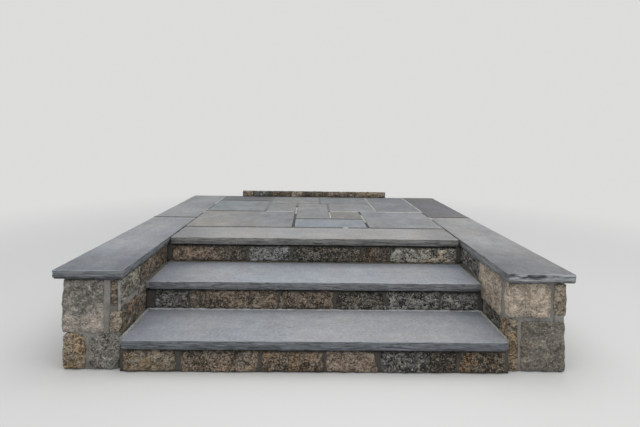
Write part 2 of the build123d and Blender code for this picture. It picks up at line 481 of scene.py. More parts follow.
def end_tree(graph, geometry, height, finish):
    """Move the points along their normals and close a tree: smooth, single, in its material."""
    offset = graph.node("GeometryNodeInputNormal") * height
    geometry = graph.node("GeometryNodeSetPosition", {"Geometry": geometry, "Offset": offset})
    geometry = graph.node("GeometryNodeSetShadeSmooth", {"Geometry": geometry})
    geometry = graph.node("GeometryNodeRealizeInstances", {"Geometry": geometry})
    geometry = graph.node("GeometryNodeSetMaterial", {"Geometry": geometry, "Material": finish})
    graph.node("NodeGroupOutput", {"Result": geometry})
    return graph.tree


def weathering_tree():
    """Wears a masonry mesh along its normals: broad relief, knapped facets and grit."""
    numbers = ["Relief", "Relief size", "Facets", "Facet size", "Grit", "Grit size", "Seed"]
    graph, given = start_tree("weathering", numbers)
    stone_seed = graph.node("GeometryNodeInputNamedAttribute", {"Name": "stone_seed"}, data_type="FLOAT")
    seed = stone_seed + given["Seed"]
    lumps = graph.noise(1.0 / given["Relief size"], 3.0, 0.55, seed)
    grains = graph.noise(1.0 / given["Grit size"], 2.0, 0.55, seed)
    cells = {"Vector": graph.place, "W": seed, "Scale": 1.0 / given["Facet size"]}
    facets = graph.node("ShaderNodeTexVoronoi", cells, voronoi_dimensions="4D", feature="F1")
    height = (lumps - 0.5) * given["Relief"] * 4.0 + (0.55 - facets) * given["Facets"]
    height = height + (grains - 0.5) * given["Grit"] * 4.0
    return end_tree(graph, given["Base"], height, given["Finish"])


def bead_tree():
    """Runs a bead of mortar along a line, unevenly thick."""
    graph, given = start_tree("mortar_bead", ["Width", "Height", "Unevenness", "Seed"])
    line = graph.node("GeometryNodeMeshToCurve", {"Mesh": given["Base"]})
    line = graph.node("GeometryNodeResampleCurve", {"Curve": line, "Length": 0.006}, mode="LENGTH")
    line = graph.node("GeometryNodeSetCurveNormal", {"Curve": line}, mode="Z_UP")
    ring = graph.node("GeometryNodeCurvePrimitiveCircle", {"Resolution": 14, "Radius": 0.5}, mode="RADIUS")
    size = graph.node("ShaderNodeCombineXYZ", {"X": given["Width"], "Y": given["Height"], "Z": 1.0})
    ring = graph.node("GeometryNodeTransform", {"Geometry": ring, "Scale": size})
    swept = {"Curve": line, "Profile Curve": ring, "Fill Caps": True}
    bead = graph.node("GeometryNodeCurveToMesh", swept)
    lumps = graph.noise(30.0, 3.0, 0.6, given["Seed"])
    return end_tree(graph, bead, (lumps - 0.5) * given["Unevenness"] * 3.0, given["Finish"])


weathering = weathering_tree()
mortar_bead = bead_tree()


def grow(piece, tree, values):
    """Run a geometry tree on a piece and keep the result as its plain mesh."""
    modifier = piece.modifiers.new(tree.name, "NODES")
    modifier.node_group = tree
    for item in tree.interface.items_tree:
        if item.in_out == "INPUT" and item.name in values:
            modifier[item.identifier] = values[item.name]
    graph = bpy.context.evaluated_depsgraph_get()
    grown = bpy.data.meshes.new_from_object(piece.evaluated_get(graph), depsgraph=graph)
    piece.modifiers.remove(modifier)
    piece.data = grown
    grown.name = piece.name


def place_mesh(name, points, edges, faces):
    """An object at the origin, of a mesh in the frame's own place."""
    mesh = bpy.data.meshes.new(name)
    mesh.from_pydata(points, edges, faces)
    placed = bpy.data.objects.new(name, mesh)
    bpy.context.scene.collection.objects.link(placed)
    return placed


def set_values(mesh, name, data):
    """Write a number or a colour for each point of a mesh as its attribute."""
    kind, field = ("FLOAT", "value") if data.shape[1] == 1 else ("FLOAT_COLOR", "color")
    if kind == "FLOAT_COLOR":
        data = np.column_stack([data, np.ones(len(data))])
    mesh.attributes.new(name, kind, "POINT").data.foreach_set(field, data.astype(np.float32).ravel())


class Shell:
    """A piece while it is built: its points, its faces, and values of its attributes at each point."""

    def __init__(self):
        self.points = []
        self.faces = []
        self.values = {}
        self.count = 0

    def add(self, points, faces, **values):
        """Add a closed body. Each attribute is one value for the body or one for each point."""
        self.faces += [tuple(corner + self.count for corner in face) for face in faces]
        self.points.append(points)
        self.count += len(points)
        for name, value in values.items():
            value = np.asarray(value, float)
            if value.ndim == 0 or len(value) != len(points):
                value = np.tile(value, (len(points), 1))
            self.values.setdefault(name, []).append(value.reshape(len(points), -1))

    def piece(self, name):
        """The object of all that was added."""
        made = place_mesh(name, np.concatenate(self.points).tolist(), [], self.faces)
        for label, parts in self.values.items():
            set_values(made.data, label, np.concatenate(parts))
        return made


def rim_cells(wide, tall):
    """The cells around a grid's rim, once round."""
    rim = [(i, 0) for i in range(wide)] + [(wide, j) for j in range(tall)]
    return rim + [(i, tall) for i in range(wide, 0, -1)] + [(0, j) for j in range(tall, 0, -1)]


def block_grid(counts, plain=None):
    """Surface of a cube from -1 to 1 as a grid: points and outward faces.

    plain is the (axis, end) of a side that nobody sees, closed by one face.
    """
    index = {}
    faces = []
    for axis in range(3):
        across, along = (other for other in range(3) if other != axis)
        wide, tall = counts[across], counts[along]
        for end in (0, 1):
            loops = [rim_cells(wide, tall)] if (axis, end) == plain else [
                [(i, j), (i + 1, j), (i + 1, j + 1), (i, j + 1)] for i in range(wide) for j in range(tall)
            ]
            for loop in loops:
                face = []
                for i, j in loop:
                    cell = [0, 0, 0]
                    cell[axis], cell[across], cell[along] = end * counts[axis], i, j
                    face.append(index.setdefault(tuple(cell), len(index)))
                faces.append(tuple(reversed(face)) if (end == 1) == (axis == 1) else tuple(face))
    return 2.0 * np.array(list(index)) / counts - 1.0, faces


def round_box(unit, size, radius):
    """Points of a cube's surface brought to a box of that size with rounded edges."""
    half = np.asarray(size) / 2.0
    radius = min(radius, 0.45 * min(size))
    full = unit * half
    core = np.clip(full, radius - half, half - radius)
    out = full - core
    length = np.linalg.norm(out, axis=1, keepdims=True)
    return core + out / np.maximum(length, 1e-9) * np.minimum(length, radius)


def slice_off(local, half, normal, depth):
    """Flatten what lies beyond a plane that cuts a depth into a block."""
    over = local @ normal - (np.abs(normal) @ half - depth)
    return local - np.outer(np.maximum(over, 0.0), normal)


def hew(local, half, shows, cut, chance):
    """Cut a block back by random planes on the sides it shows and off its face's four corners."""
    bite = min(side_cut, 0.4 * min(half))
    for axis, sign in shows:
        for _ in range(chance.randint(5, 7)):
            turn = chance.uniform(0.0, 2.0 * math.pi)
            lean = chance.uniform(0.08, 0.40)
            sideways = np.array([math.cos(turn), math.sin(turn)]) * math.sin(lean)
            normal = np.insert(sideways, axis, sign * math.cos(lean))
            local = slice_off(local, half, normal, bite * chance.uniform(0.3, 1.0))
    for first_way, second_way in ((1, 1), (1, -1), (-1, 1), (-1, -1)):
        turn = chance.uniform(0.35, 1.20)
        normal = np.insert([first_way * math.cos(turn), second_way * math.sin(turn)], shows[0][0], 0.0)
        local = slice_off(local, half, normal, chance.uniform(0.2, 1.0) * cut)
    return local


def lay_stone(shell, low, high, kind, chance, shows, spacing=shown_spacing, radius=stone_radius,
              slants=(0.0, 0.0), crown=(0.003, 0.007), cut=corner_cut, drift=(0.0, 0.0), lightness=1.0,
              bloom=0.0):
    """Add one stone between two corners, given the (axis, sign) sides it shows.

    The first side shown is its face. slants lean its two ends along the face, crown is how far the
    face swells, cut is how much goes off a corner of the face, drift is how much more stained it is
    towards its right end and its top, and bloom is how limy its foot is.
    """
    low, high = np.array(low, float), np.array(high, float)
    size = high - low
    half = size / 2.0
    face_axis, face_sign = shows[0]
    counts = [max(3, round(length / spacing)) for length in size]
    unit, faces = block_grid(counts, (face_axis, 0 if face_sign > 0 else 1))
    local = round_box(unit, size, radius * chance.uniform(0.8, 1.25))
    for axis, sign in shows:
        facing = np.clip(sign * unit[:, axis], 0.0, 1.0) ** 6
        swell = np.prod(1 - np.delete(unit, axis, 1) ** 2, axis=1)
        local[:, axis] += sign * chance.uniform(*crown) * facing * swell
    local = hew(local, half, shows, cut, chance)

    along = 1 - face_axis
    lean = slants[0] * (1 - unit[:, along]) / 2 + slants[1] * (1 + unit[:, along]) / 2
    local[:, along] += lean * unit[:, 2]

    to_edge = np.sort(half - np.abs(unit * half), axis=1)[:, 1]
    tint, stain, share, speckle = STONE_KINDS[kind]
    lift = lightness * chance.uniform(0.95, 1.05)
    shell.add(
        local + (low + high) / 2, faces,
        stone_tint=np.array(tint) * lift, stone_stain=np.array(stain) * lift,
        stained_share=share + drift[0] * unit[:, along] + drift[1] * unit[:, 2],
        speckle=speckle, stone_seed=chance.uniform(0.0, 40.0),
        stone_rim=1.0 - np.clip(to_edge / rim_width, 0.0, 1.0),
        stone_bloom=bloom * np.clip(1.0 - (1.0 + unit[:, 2]) * half[2] / bloom_height, 0.0, 1.0),
    )


def lay_mortar(shell, low, high, tone, spacing=0.016, rounding=0.004):
    """Add a body of mortar between two corners."""
    low, high = np.array(low, float), np.array(high, float)
    size = high - low
    unit, faces = block_grid([max(2, round(length / spacing)) for length in size])
    shell.add(round_box(unit, size, rounding) + (low + high) / 2, faces, mortar_tone=tone, stone_seed=0.0)


def settle(piece, slot, *nodes):
    """Hold a finished piece inside the frame's box, put it under the root body and hide the nodes it
    replaces. Its slot is not used.
    """
    points = np.empty(len(piece.data.vertices) * 3, np.float32)
    piece.data.vertices.foreach_get("co", points)
    points = np.clip(points.reshape(-1, 3), np.array(cad_box[0]), np.array(cad_box[1]))
    piece.data.vertices.foreach_set("co", points.ravel())
    piece.data.update()
    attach(piece, "root")
    if nodes:
        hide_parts(*nodes)


# How stones and mortar are worn, by slot
WEAR = {
    "rubble_stone": {
        "Relief": 0.0050, "Relief size": 0.075, "Facets": 0.0090, "Facet size": 0.042,
        "Grit": 0.0016, "Grit size": 0.018, "Finish": field_stone,
    },
    "mortar": {
        "Relief": 0.0024, "Relief size": 0.060, "Facets": 0.0, "Facet size": 0.050,
        "Grit": 0.0008, "Grit size": 0.016, "Finish": mortar,
    },
}


def finish_masonry(shell, name, slot, seed, *nodes):
    """Wear the stones or the mortar of a shell and settle them."""
    piece = shell.piece(name)
    grow(piece, weathering, {**WEAR[slot], "Seed": seed})
    settle(piece, slot, *nodes)


def run_beads(name, lines, width, height, unevenness, tone, seed):
    """A bead of mortar along each line, as one piece."""
    points, edges = [], []
    for line in lines:
        edges += [(k, k + 1) for k in range(len(points), len(points) + len(line) - 1)]
        points += line
    piece = place_mesh(name, points, edges, [])
    grow(piece, mortar_bead, {
        "Width": width, "Height": height, "Unevenness": unevenness, "Seed": seed, "Finish": mortar,
    })
    set_values(piece.data, "mortar_tone", np.tile(tone, (len(piece.data.vertices), 1)))
    settle(piece, "mortar")


def build_risers():
    """The stones and mortar of each riser."""
    for step, (node, row) in enumerate(RISER_STONES.items()):
        chance = random.Random(310 + step)
        low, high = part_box(node)
        stones = Shell()
        lean_before = 0
        for left, right, lean, kind, lightness, bloom in row:
            foot = low.z + chance.uniform(0.001, 0.005)
            top = high.z - shadow_gap - chance.uniform(0.0, 0.004)
            lay_stone(
                stones, (left * MM, low.y + stone_setback, foot), (right * MM, low.y + facing_depth, top),
                kind, chance, [FRONT], radius=0.016, slants=(lean_before * MM, lean * MM),
                crown=(0.001, 0.005), drift=(chance.uniform(-0.15, 0.15), chance.uniform(-0.2, 0.2)),
                lightness=lightness, bloom=bloom,
            )
            lean_before = lean
        finish_masonry(stones, f"{node}_stones", "rubble_stone", step * 3.0, node)
        body = Shell()
        if step:
            low.x -= into_wall
            high.x += into_wall
        shadow_y = low.y + shadow_depth
        far = (high.x, shadow_y + 0.006, high.z - shadow_gap - 0.002)
        lay_mortar(body, (low.x, low.y + riser_recess, low.z), far, RISER_MORTAR)
        lay_mortar(body, (low.x, shadow_y, low.z), high, RISER_MORTAR)
        finish_masonry(body, f"{node}_mortar", "mortar", step * 5.0, node)


def behind_nosing(distance):
    """Y at a distance in millimetres behind the first nosing."""
    return first_nosing_y + distance * MM


def level(height):
    """A course line that keeps one height."""
    return lambda along: height


def wandering(height, swing, length, phase):
    """A course line that rises and falls along the wall."""
    return lambda along: height + swing * math.sin(2 * math.pi * along / length + phase)


def course(start, end, foot, top, chance, split):
    """Plans of one course along a wall: (from, to, foot, top, slants) for each stone.

    split is how many of its taller stones are laid in two.
    """
    shortest, longest = 0.16, 0.36
    joints = [start]
    while end - joints[-1] > longest:
        length = chance.uniform(shortest, longest)
        if end - joints[-1] - length < shortest:
            length = (end - joints[-1]) / 2
        joints.append(joints[-1] + length)
    joints.append(end)
    leans = [0.0] + [chance.uniform(-0.012, 0.012) for _ in joints[2:]] + [0.0]
    plans = []
    for k in range(len(joints) - 1):
        middle = (joints[k] + joints[k + 1]) / 2
        low, high = foot(middle), top(middle)
        levels = [low, high]
        if high - low > 0.20 and chance.random() < split:
            levels.insert(1, low + (high - low) * chance.uniform(0.38, 0.62))
        for below, above in zip(levels, levels[1:]):
            plans.append((joints[k], joints[k + 1], below, above, (leans[k], leans[k + 1])))
    return plans


def face_side(stones, face, plane, plans, chance, half_joint=0.009):
    """Lay plans of stones on one face of a wall, whose plane lies across that face's axis."""
    axis, sign = face
    for start, end, foot, top, slants in plans:
        low = [0.0, 0.0, foot + half_joint]
        high = [0.0, 0.0, top - half_joint]
        low[1 - axis], high[1 - axis] = start + half_joint, end - half_joint
        low[axis], high[axis] = sorted((plane - sign * facing_depth, plane - sign * stone_setback))
        kind = chance.choice(COMMON_KINDS)
        lay_stone(stones, low, high, kind, chance, [face], spacing=plain_spacing, slants=slants)


def build_cheek_wall(side, way, chance, middle, upper, lower, seed):
    """A cheek wall: its pier-like front, the passage side, the outer side and the rear end.

    way is -1 for the left wall and 1 for the right one. middle is the line between the two courses
    of the outer side, and upper and lower say where each starts behind the first nosing and how many
    of its taller stones are laid in two.
    """
    node = f"{side}_cheek_wall"
    stones = Shell()
    for left, right, back, foot, top, kind, shows, shape in PIER_STONES[side]:
        low = (left * MM, wall_front_y + pier_setback, foot * MM)
        lay_stone(stones, low, (right * MM, behind_nosing(back), top * MM), kind, chance, shows, **shape)
    left, right = sorted(way * reach for reach in passage_stone_reach)
    for start, end, foot, top, kind, shape in PASSAGE_STONES[side]:
        low = (left, behind_nosing(start), foot * MM)
        high = (right, behind_nosing(end), top * MM)
        lay_stone(stones, low, high, kind, chance, [(0, -way)], **shape)

    ground_line, top_line = level(0.0), level(wall_top_z)
    outer = course(behind_nosing(upper[0]), wall_back_y, middle, top_line, chance, upper[1])
    outer += course(behind_nosing(lower[0]), wall_back_y, ground_line, middle, chance, lower[1])
    face_side(stones, (0, way), way * wall_outer_x, outer, chance)
    left, right = sorted((way * passage_x, way * wall_outer_x))
    rear = course(left, right, ground_line, middle, chance, 0.0)
    rear += course(left, right, middle, top_line, chance, 0.3)
    face_side(stones, BACK, wall_back_y, rear, chance)
    finish_masonry(stones, f"{side}_wall_stones", "rubble_stone", seed, node)

    body = Shell()
    low = (left + mortar_recess, wall_front_y + mortar_recess, -mortar_rounding)
    high = (right - mortar_recess, wall_back_y - mortar_recess, wall_top_z + mortar_rounding)
    lay_mortar(body, low, high, WALL_MORTAR, rounding=mortar_rounding)
    for left, right, foot, top, inset, thickness, tone, spacing in SMEARS[side]:
        y = wall_front_y + inset * MM
        high = (right * MM, y + thickness * MM, top * MM)
        lay_mortar(body, (left * MM, y, foot * MM), high, tone, spacing)
    finish_masonry(body, f"{side}_wall_mortar", "mortar", seed + 1.0, node)


def build_rear_wall():
    """The rubble between the cheek walls at the back."""
    chance = random.Random(63)
    low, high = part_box("rear_wall")
    middle = wandering(0.24, 0.02, 1.7, 0.3)
    plans = course(low.x, high.x, level(0.0), middle, chance, 0.35)
    plans += course(low.x, high.x, middle, level(high.z), chance, 0.2)
    stones = Shell()
    face_side(stones, BACK, high.y, plans, chance)
    finish_masonry(stones, "rear_wall_stones", "rubble_stone", 31.0, "rear_wall")
    body = Shell()
    far = (high.x + into_wall, high.y - mortar_recess, high.z)
    lay_mortar(body, (low.x - into_wall, low.y, low.z), far, WALL_MORTAR)
    finish_masonry(body, "rear_wall_mortar", "mortar", 32.0, "rear_wall")


def build_sill_course():
    """The low course of small stones along the landing's back edge."""
    chance = random.Random(74)
    low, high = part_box("door_sill_course")
    stones = Shell()
    for left, right, kind in SILL_STONES:
        near = (left * MM, low.y + 0.003, low.z + 0.003)
        far = (right * MM, high.y - 0.008, high.z - 0.003)
        lay_stone(stones, near, far, kind, chance, [FRONT], radius=0.009)
    finish_masonry(stones, "door_sill_stones", "rubble_stone", 41.0, "door_sill_course")
    body = Shell()
    near = (low.x + 0.004, low.y + 0.009, low.z)
    lay_mortar(body, near, (high.x - 0.004, high.y, high.z - 0.003), RISER_MORTAR)
    finish_masonry(body, "door_sill_mortar", "mortar", 42.0, "door_sill_course")


def build_tread_joints():
    """Mortar at the treads' ends against the walls, and beads along those ends and the risers' feet."""
    ends = Shell()
    for step, (node, riser) in enumerate(RISER_ABOVE.items()):
        low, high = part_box(node)
        riser_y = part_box(riser)[0].y
        front_y = max(low.y, wall_front_y) + 0.006
        end_lines = []
        for way in (-1, 1):
            left, right = sorted((way * (high.x - 0.004), way * (passage_x + 0.012)))
            far = (right, riser_y + 0.02, high.z - 0.002)
            lay_mortar(ends, (left, front_y, low.z + 0.004), far, WALL_MORTAR, spacing=0.010)
            x = way * (passage_x - 0.006)
            end_lines.append([(x, front_y + 0.004, high.z), (x, riser_y + 0.01, high.z)])
        foot_line = [(x, riser_y + 0.008, high.z) for x in (low.x, high.x)]
        end_tone, foot_tone = (DARK_MORTAR, DARK_MORTAR) if step else (PALE_MORTAR, LIME)
        run_beads(f"{node}_end_beads", end_lines, 0.011, 0.011, 0.0040, end_tone, 3.0 + step)
        run_beads(f"{node}_back_bead", [foot_line], 0.018, 0.010, 0.0080, foot_tone, 5.0 + step)
    finish_masonry(ends, "tread_end_mortar", "mortar", 51.0)


# Split sides of a slab: belly back to the foot, thin layers, the broken foot and where it starts, a
# groove along a seam and where it runs, chips at the top and the worn arris, then how far the groove
# reaches and along what share it opens, and for the two long sides how much of all this they have
# and how much painted shade darkens them
Edge = namedtuple(
    "Edge", "belly layers foot foot_at groove groove_at chips arris "
    "groove_reach groove_share side_share side_lightness", defaults=(0.11, 0.15, 1.0, 1.0),
)
TREAD_EDGE = Edge(0.0034, 0.0026, 0.0026, 0.86, 0.0040, 0.70, 0.0014, 0.0030)
PAVING_EDGE = Edge(0.0010, 0.0010, 0.0, 0.90, 0.0, 0.50, 0.0012, 0.0015)
COPING_EDGES = {
    "left": Edge(0.0030, 0.0030, 0.0090, 0.77, 0.0022, 0.40, 0.0050, 0.0030,
                 side_share=0.5, side_lightness=0.9),
    "right": Edge(0.0020, 0.0036, 0.0060, 0.84, 0.0120, 0.36, 0.0040, 0.0020,
                  groove_reach=0.28, groove_share=0.05, side_share=0.3, side_lightness=0.60),
}
side_rings = 14
split_depth = 0.012
nosing_end_joint = 0.006


def held(value, low=0.0, high=1.0):
    """A value held between two others."""
    return min(max(value, low), high)


def smooth_step(value, low, high):
    """A smooth step from 0 at low to 1 at high."""
    share = held((value - low) / (high - low))
    return share * share * (3.0 - 2.0 * share)


def waver(*place):
    """Smooth noise between -1 and 1 at a place."""
    return noise.noise(Vector(place))


def edge_inset(x, y, drop, thickness, edge):
    """How far a slab's side lies in from its outline, at a place on it and a drop below the top."""
    share = drop / thickness
    layers = 0.5 + 0.6 * waver(x * 8.0, y * 8.0, drop * 130.0 + 5.0)
    layers += 0.5 * waver(x * 31.0, y * 31.0, drop * 60.0)
    foot_line = edge.foot_at + 0.16 * waver(x * 11.0, y * 11.0, 2.3) + 0.08 * waver(x * 40.0, y * 40.0, 7.7)
    foot = edge.foot * smooth_step(share, foot_line - 0.05, foot_line + 0.05)
    seam = edge.groove_at + 0.18 * waver(x * 7.0, y * 7.0, 4.1) + 0.14 * waver(x * 27.0, y * 27.0, 6.3)
    opening = edge.groove_share + 4.5 * waver(x * 13.0, y * 13.0, 1.7)
    opening = held(opening + 2.0 * waver(x * 45.0, y * 45.0, drop * 60.0))
    opening *= held(1.5 - 1.5 * abs(share - seam) / edge.groove_reach)
    chipped = waver(x * 10.0, y * 10.0, 9.1) + 0.5 * waver(x * 29.0, y * 29.0, 3.3)
    chips = edge.chips * (1.0 - smooth_step(share, 0.04, 0.26)) * max(0.0, chipped + 0.1) * 1.6
    broken = edge.layers * max(0.0, layers) + edge.groove * opening
    return edge.belly * share * share + broken + foot + chips


def split_slab(node, low, high, tone_at, side_tone, edge, spacing, ending="slab", slot="bluestone"):
    """A slab with split sides: a grid on top, rings down the sides and a plain foot.

    tone_at gives the tone of the top at a place.
    """
    across, deep = (
        np.linspace(low[k], high[k], max(2, round((high[k] - low[k]) / spacing[k])) + 1) for k in (0, 1)
    )
    wide, tall = len(across), len(deep)
    thickness = high[2] - low[2]

    def rim_insets(places):
        return np.array([edge.arris + edge_inset(x, y, 0.0, thickness, edge) for x, y in places])

    def fading(distance):
        return np.clip(1.0 - distance / 0.04, 0.0, 1.0)

    left, right = (edge.side_share * rim_insets([(x, y) for y in deep]) for x in (low[0], high[0]))
    near, far = (rim_insets([(x, y) for x in across]) for y in (low[1], high[1]))
    from_left, from_right = fading(across - low[0]), fading(high[0] - across)
    grid_x = across[None, :] + left[:, None] * from_left - right[:, None] * from_right
    grid_y = deep[:, None] + near * fading(deep - low[1])[:, None] - far * fading(high[1] - deep)[:, None]
    grid_z = [
        [high[2] - 0.0008 + 0.0007 * waver(x * 4.0, y * 4.0, low[2] * 7.0) for x in across] for y in deep
    ]
    points = np.stack([grid_x, grid_y, grid_z], axis=2).reshape(-1, 3).tolist()
    faces = [
        (j * wide + i, j * wide + i + 1, (j + 1) * wide + i + 1, (j + 1) * wide + i)
        for j in range(tall - 1) for i in range(wide - 1)
    ]

    rim = rim_cells(wide - 1, tall - 1)
    ring = [j * wide + i for i, j in rim]
    depths = [0.0] * len(points)
    lightness = [1.0] * len(points)
    for ring_down in range(side_rings + 1):
        drop = edge.arris + (thickness - edge.arris) * ring_down / side_rings
        below = list(range(len(points), len(points) + len(rim)))
        for i, j in rim:
            inset = edge_inset(across[i], deep[j], drop, thickness, edge)
            at_end = j in (0, tall - 1)
            depths.append(min((1.0 if at_end else edge.side_share) * inset / split_depth, 1.0))
            # Painted shade on the long sides.
            lightness.append(1.0 if at_end else edge.side_lightness)
            x = across[i] + edge.side_share * inset * ((i == 0) - (i == wide - 1))
            y = deep[j] + inset * ((j == 0) - (j == tall - 1))
            points.append((x, y, high[2] - drop))
        for k in range(len(rim)):
            after = (k + 1) % len(rim)
            faces.append((ring[k], below[k], below[after], ring[after]))
        ring = below
    faces.append(tuple(reversed(ring)))

    shell = Shell()
    shell.add(
        np.array(points), faces, slab_tone=[tone_at(x, y) for x, y, _ in points],
        edge_tone=np.outer(lightness, side_tone), slab_edge=np.arange(len(points)) >= wide * tall,
        split_depth=depths,
    )
    piece = shell.piece(f"{node}_{ending}")
    piece.data.materials.append(bluestone)
    piece.data.shade_smooth()
    settle(piece, slot, node)


# Tones of the steps: the top and the split sides
STEP_TONES = {
    "tread_lower": ((0.304, 0.310, 0.330), (0.184, 0.195, 0.212)),
    "tread_upper": ((0.303, 0.316, 0.345), (0.228, 0.236, 0.250)),
    "landing_nosing": ((0.306, 0.300, 0.298), (0.232, 0.230, 0.220)),
}

# Tones of the coping: the top, the split sides, how strong the painted shadow on the front end is and how
# far back that goes
COPING_TONES = {
    "left_coping_front": ((0.276, 0.281, 0.300), (0.212, 0.226, 0.240), 0.43, 0.65),
    "left_coping_rear": ((0.280, 0.282, 0.292), (0.212, 0.226, 0.240), 0.0, 1.0),
    "right_coping_front": ((0.303, 0.300, 0.304), (0.362, 0.371, 0.386), 0.38, 0.95),
    "right_coping_rear": ((0.152, 0.151, 0.164), (0.300, 0.305, 0.315), 0.0, 1.0),
}
# The paving's split sides are dark: painted shade in the joints between the slabs.
PAVING_SIDE_TONE = (0.110, 0.110, 0.105)

# Tones of the paving at each slab's left and right end
PAVING_TONES = {
    "front_left": ((0.262, 0.254, 0.243), (0.214, 0.218, 0.232)),
    "front_middle": ((0.238, 0.258, 0.284), (0.244, 0.264, 0.292)),
    "front_right": ((0.240, 0.242, 0.257), (0.252, 0.252, 0.260)),
    "centre": ((0.238, 0.236, 0.240), (0.230, 0.232, 0.240)),
    "small": ((0.218, 0.208, 0.198), (0.212, 0.206, 0.200)),
    "left": ((0.218, 0.234, 0.246), (0.228, 0.240, 0.248)),
    "inner_left": ((0.228, 0.230, 0.234), (0.242, 0.240, 0.238)),
    "inner_right": ((0.240, 0.240, 0.246), (0.248, 0.252, 0.262)),
    "right": ((0.206, 0.210, 0.222), (0.198, 0.202, 0.216)),
    "rear_left": ((0.164, 0.166, 0.178), (0.178, 0.178, 0.184)),
    "door_left": ((0.236, 0.241, 0.246), (0.242, 0.245, 0.250)),
    "door_right": ((0.220, 0.228, 0.235), (0.216, 0.222, 0.232)),
}

# How much a fully dim place loses of each part of its tone, where painted shade dims the coping and painted
# shade with some dirt dims the steps
STEP_DIMMING = np.array([0.42, 0.39, 0.34])
COPING_DIMMING = np.array([1.0, 0.97, 0.90])

# Dark marks on the lowest tread: place, and reach across and in depth
MARKS = [(-0.240, -1.281, 0.016, 0.014), (-0.197, -1.232, 0.022, 0.040)]


def step_tone(node, tone, riser_y, back_shade_and_dirt):
    """The tone of a step at a place: dim and bluish at its ends and before the riser behind it, from
    painted shade with some dirt.
    """
    low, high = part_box(node)

    def tone_at(x, y):
        # Painted shade, with some dirt: dimmer towards the ends by the walls and before the riser behind.
        ends = (0.76 if x < 0.0 else 0.60) * (1.0 - smooth_step(high.x - abs(x), 0.0, 0.36))
        back = back_shade_and_dirt * (1.0 - smooth_step(riser_y - y, 0.0, 0.15))
        dimness = held(ends + back + 0.16 * waver(x * 2.6, y * 7.0, low.z * 9.0), -0.3)
        for mark_x, mark_y, reach_x, reach_y in MARKS if node == "tread_lower" else []:
            dimness += 0.4 * math.exp(-((x - mark_x) / reach_x) ** 2 - ((y - mark_y) / reach_y) ** 2)
        return np.array(tone) * (1.0 - STEP_DIMMING * dimness)

    return tone_at


def coping_tone(node, tone, front_shadow, reach):
    """The tone of a coping slab at a place: a painted shadow towards its front end, and darker along the
    passage.
    """
    front_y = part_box(node)[0].y

    def tone_at(x, y):
        # Painted shadow, strongest at the front end.
        dimness = front_shadow * (1.0 - smooth_step(y - front_y, 0.0, reach))
        dimness += 0.09 * (1.0 - smooth_step(abs(x) - passage_x, 0.0, 0.12))
        dimness += 0.12 * waver(x * 5.0, y * 2.2, 3.0) + 0.10 * waver(x * 22.0, y * 12.0, 6.0)
        return np.array(tone) * (1.0 - COPING_DIMMING * dimness)

    return tone_at


def paving_tone(node, left_tone, right_tone):
    """The tone of a paving slab at a place: it passes from one end's to the other's."""
    low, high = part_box(node)

    def tone_at(x, y):
        share = (x - low.x) / (high.x - low.x) + 0.4 * waver(x * 4.0, y * 4.0, 2.0)
        share = smooth_step(share, 0.15, 0.95)
        wander = 1.0 + 0.16 * waver(x * 6.0, y * 6.0, 5.0) + 0.14 * waver(x * 20.0, y * 11.0, 8.0)
        return (np.array(left_tone) * (1.0 - share) + np.array(right_tone) * share) * wander

    return tone_at


def slab_node(short):
    """The node of a slab named by its place in the paving, or by its full name in the coping."""
    return short if "coping" in short else f"landing_slab_{short}"


def build_slabs():
    """Treads, nosing slab, coping and paving, each in place of its own node."""
    for step, (node, (tone, side_tone)) in enumerate(STEP_TONES.items()):
        low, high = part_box(node)
        landing = node == "landing_nosing"
        riser_y = math.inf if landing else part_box(RISER_ABOVE[node])[0].y
        tone_at = step_tone(node, tone, riser_y, 0.35 + 0.35 * step)
        if landing:
            low.x += nosing_end_joint
            high.x -= nosing_end_joint
        split_slab(node, low, high, tone_at, side_tone, TREAD_EDGE, (0.007, 0.016))
    for node, (tone, side_tone, front_shadow, reach) in COPING_TONES.items():
        tone_at = coping_tone(node, tone, front_shadow, reach)
        edge = COPING_EDGES[node.split("_")[0]]
        split_slab(node, *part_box(node), tone_at, side_tone, edge, (0.009, 0.009))
    for short, (left_tone, right_tone) in PAVING_TONES.items():
        node = slab_node(short)
        tone_at = paving_tone(node, left_tone, right_tone)
        split_slab(node, *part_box(node), tone_at, PAVING_SIDE_TONE, PAVING_EDGE, (0.014, 0.014),
                   "stone", "paving_stone")


# Mortar struck nearly flush in the landing's joints: new, old and dark with grit, or faded to the tone
# of the slabs. For each, how wide its beads in depth are, tone, seed, and its joints, given by the
# side of a slab that they run along, and from which share of that side to which if not all of it
FLUSH_POINTING = {
    "new_pointing": (0.017, NEW_MORTAR, 9.0, [
        ("front_right", "back"), ("small", "back"), ("inner_left", "front", 0.0, 0.95),
        ("front_middle", "front", 0.67, 0.73), ("right", "left"), ("right", "right"),
        ("front_right", "right", 0.52, 0.66), ("small", "left", 0.05, 0.90),
        ("centre", "left", 0.28, 0.70), ("rear_left", "left", 0.0, 0.85), ("left", "left", 0.61, 1.0),
        ("left", "left", 0.0, 0.12), ("front_left", "left", 0.87, 1.0),
        ("front_right", "left", 0.30, 0.78),
    ]),
    "old_pointing": (0.017, OLD_MORTAR, 13.0, [
        ("front_left", "front"), ("front_middle", "front", 0.0, 0.66),
        ("front_middle", "front", 0.74, 1.0), ("front_right", "front"), ("left", "front", 0.05, 1.0),
        ("front_middle", "back"), ("rear_left", "front"), ("left_coping_front", "back"),
        ("right_coping_front", "back"), ("front_left", "right", 0.0, 0.55),
        ("front_right", "left", 0.0, 0.28),
    ]),
    "faded_pointing": (0.030, FADED_MORTAR, 17.0, [
        ("door_left", "front"), ("door_right", "front"), ("left", "right"), ("rear_left", "right"),
        ("door_left", "right"), ("centre", "left", 0.80, 1.0), ("inner_right", "left"),
    ]),
}


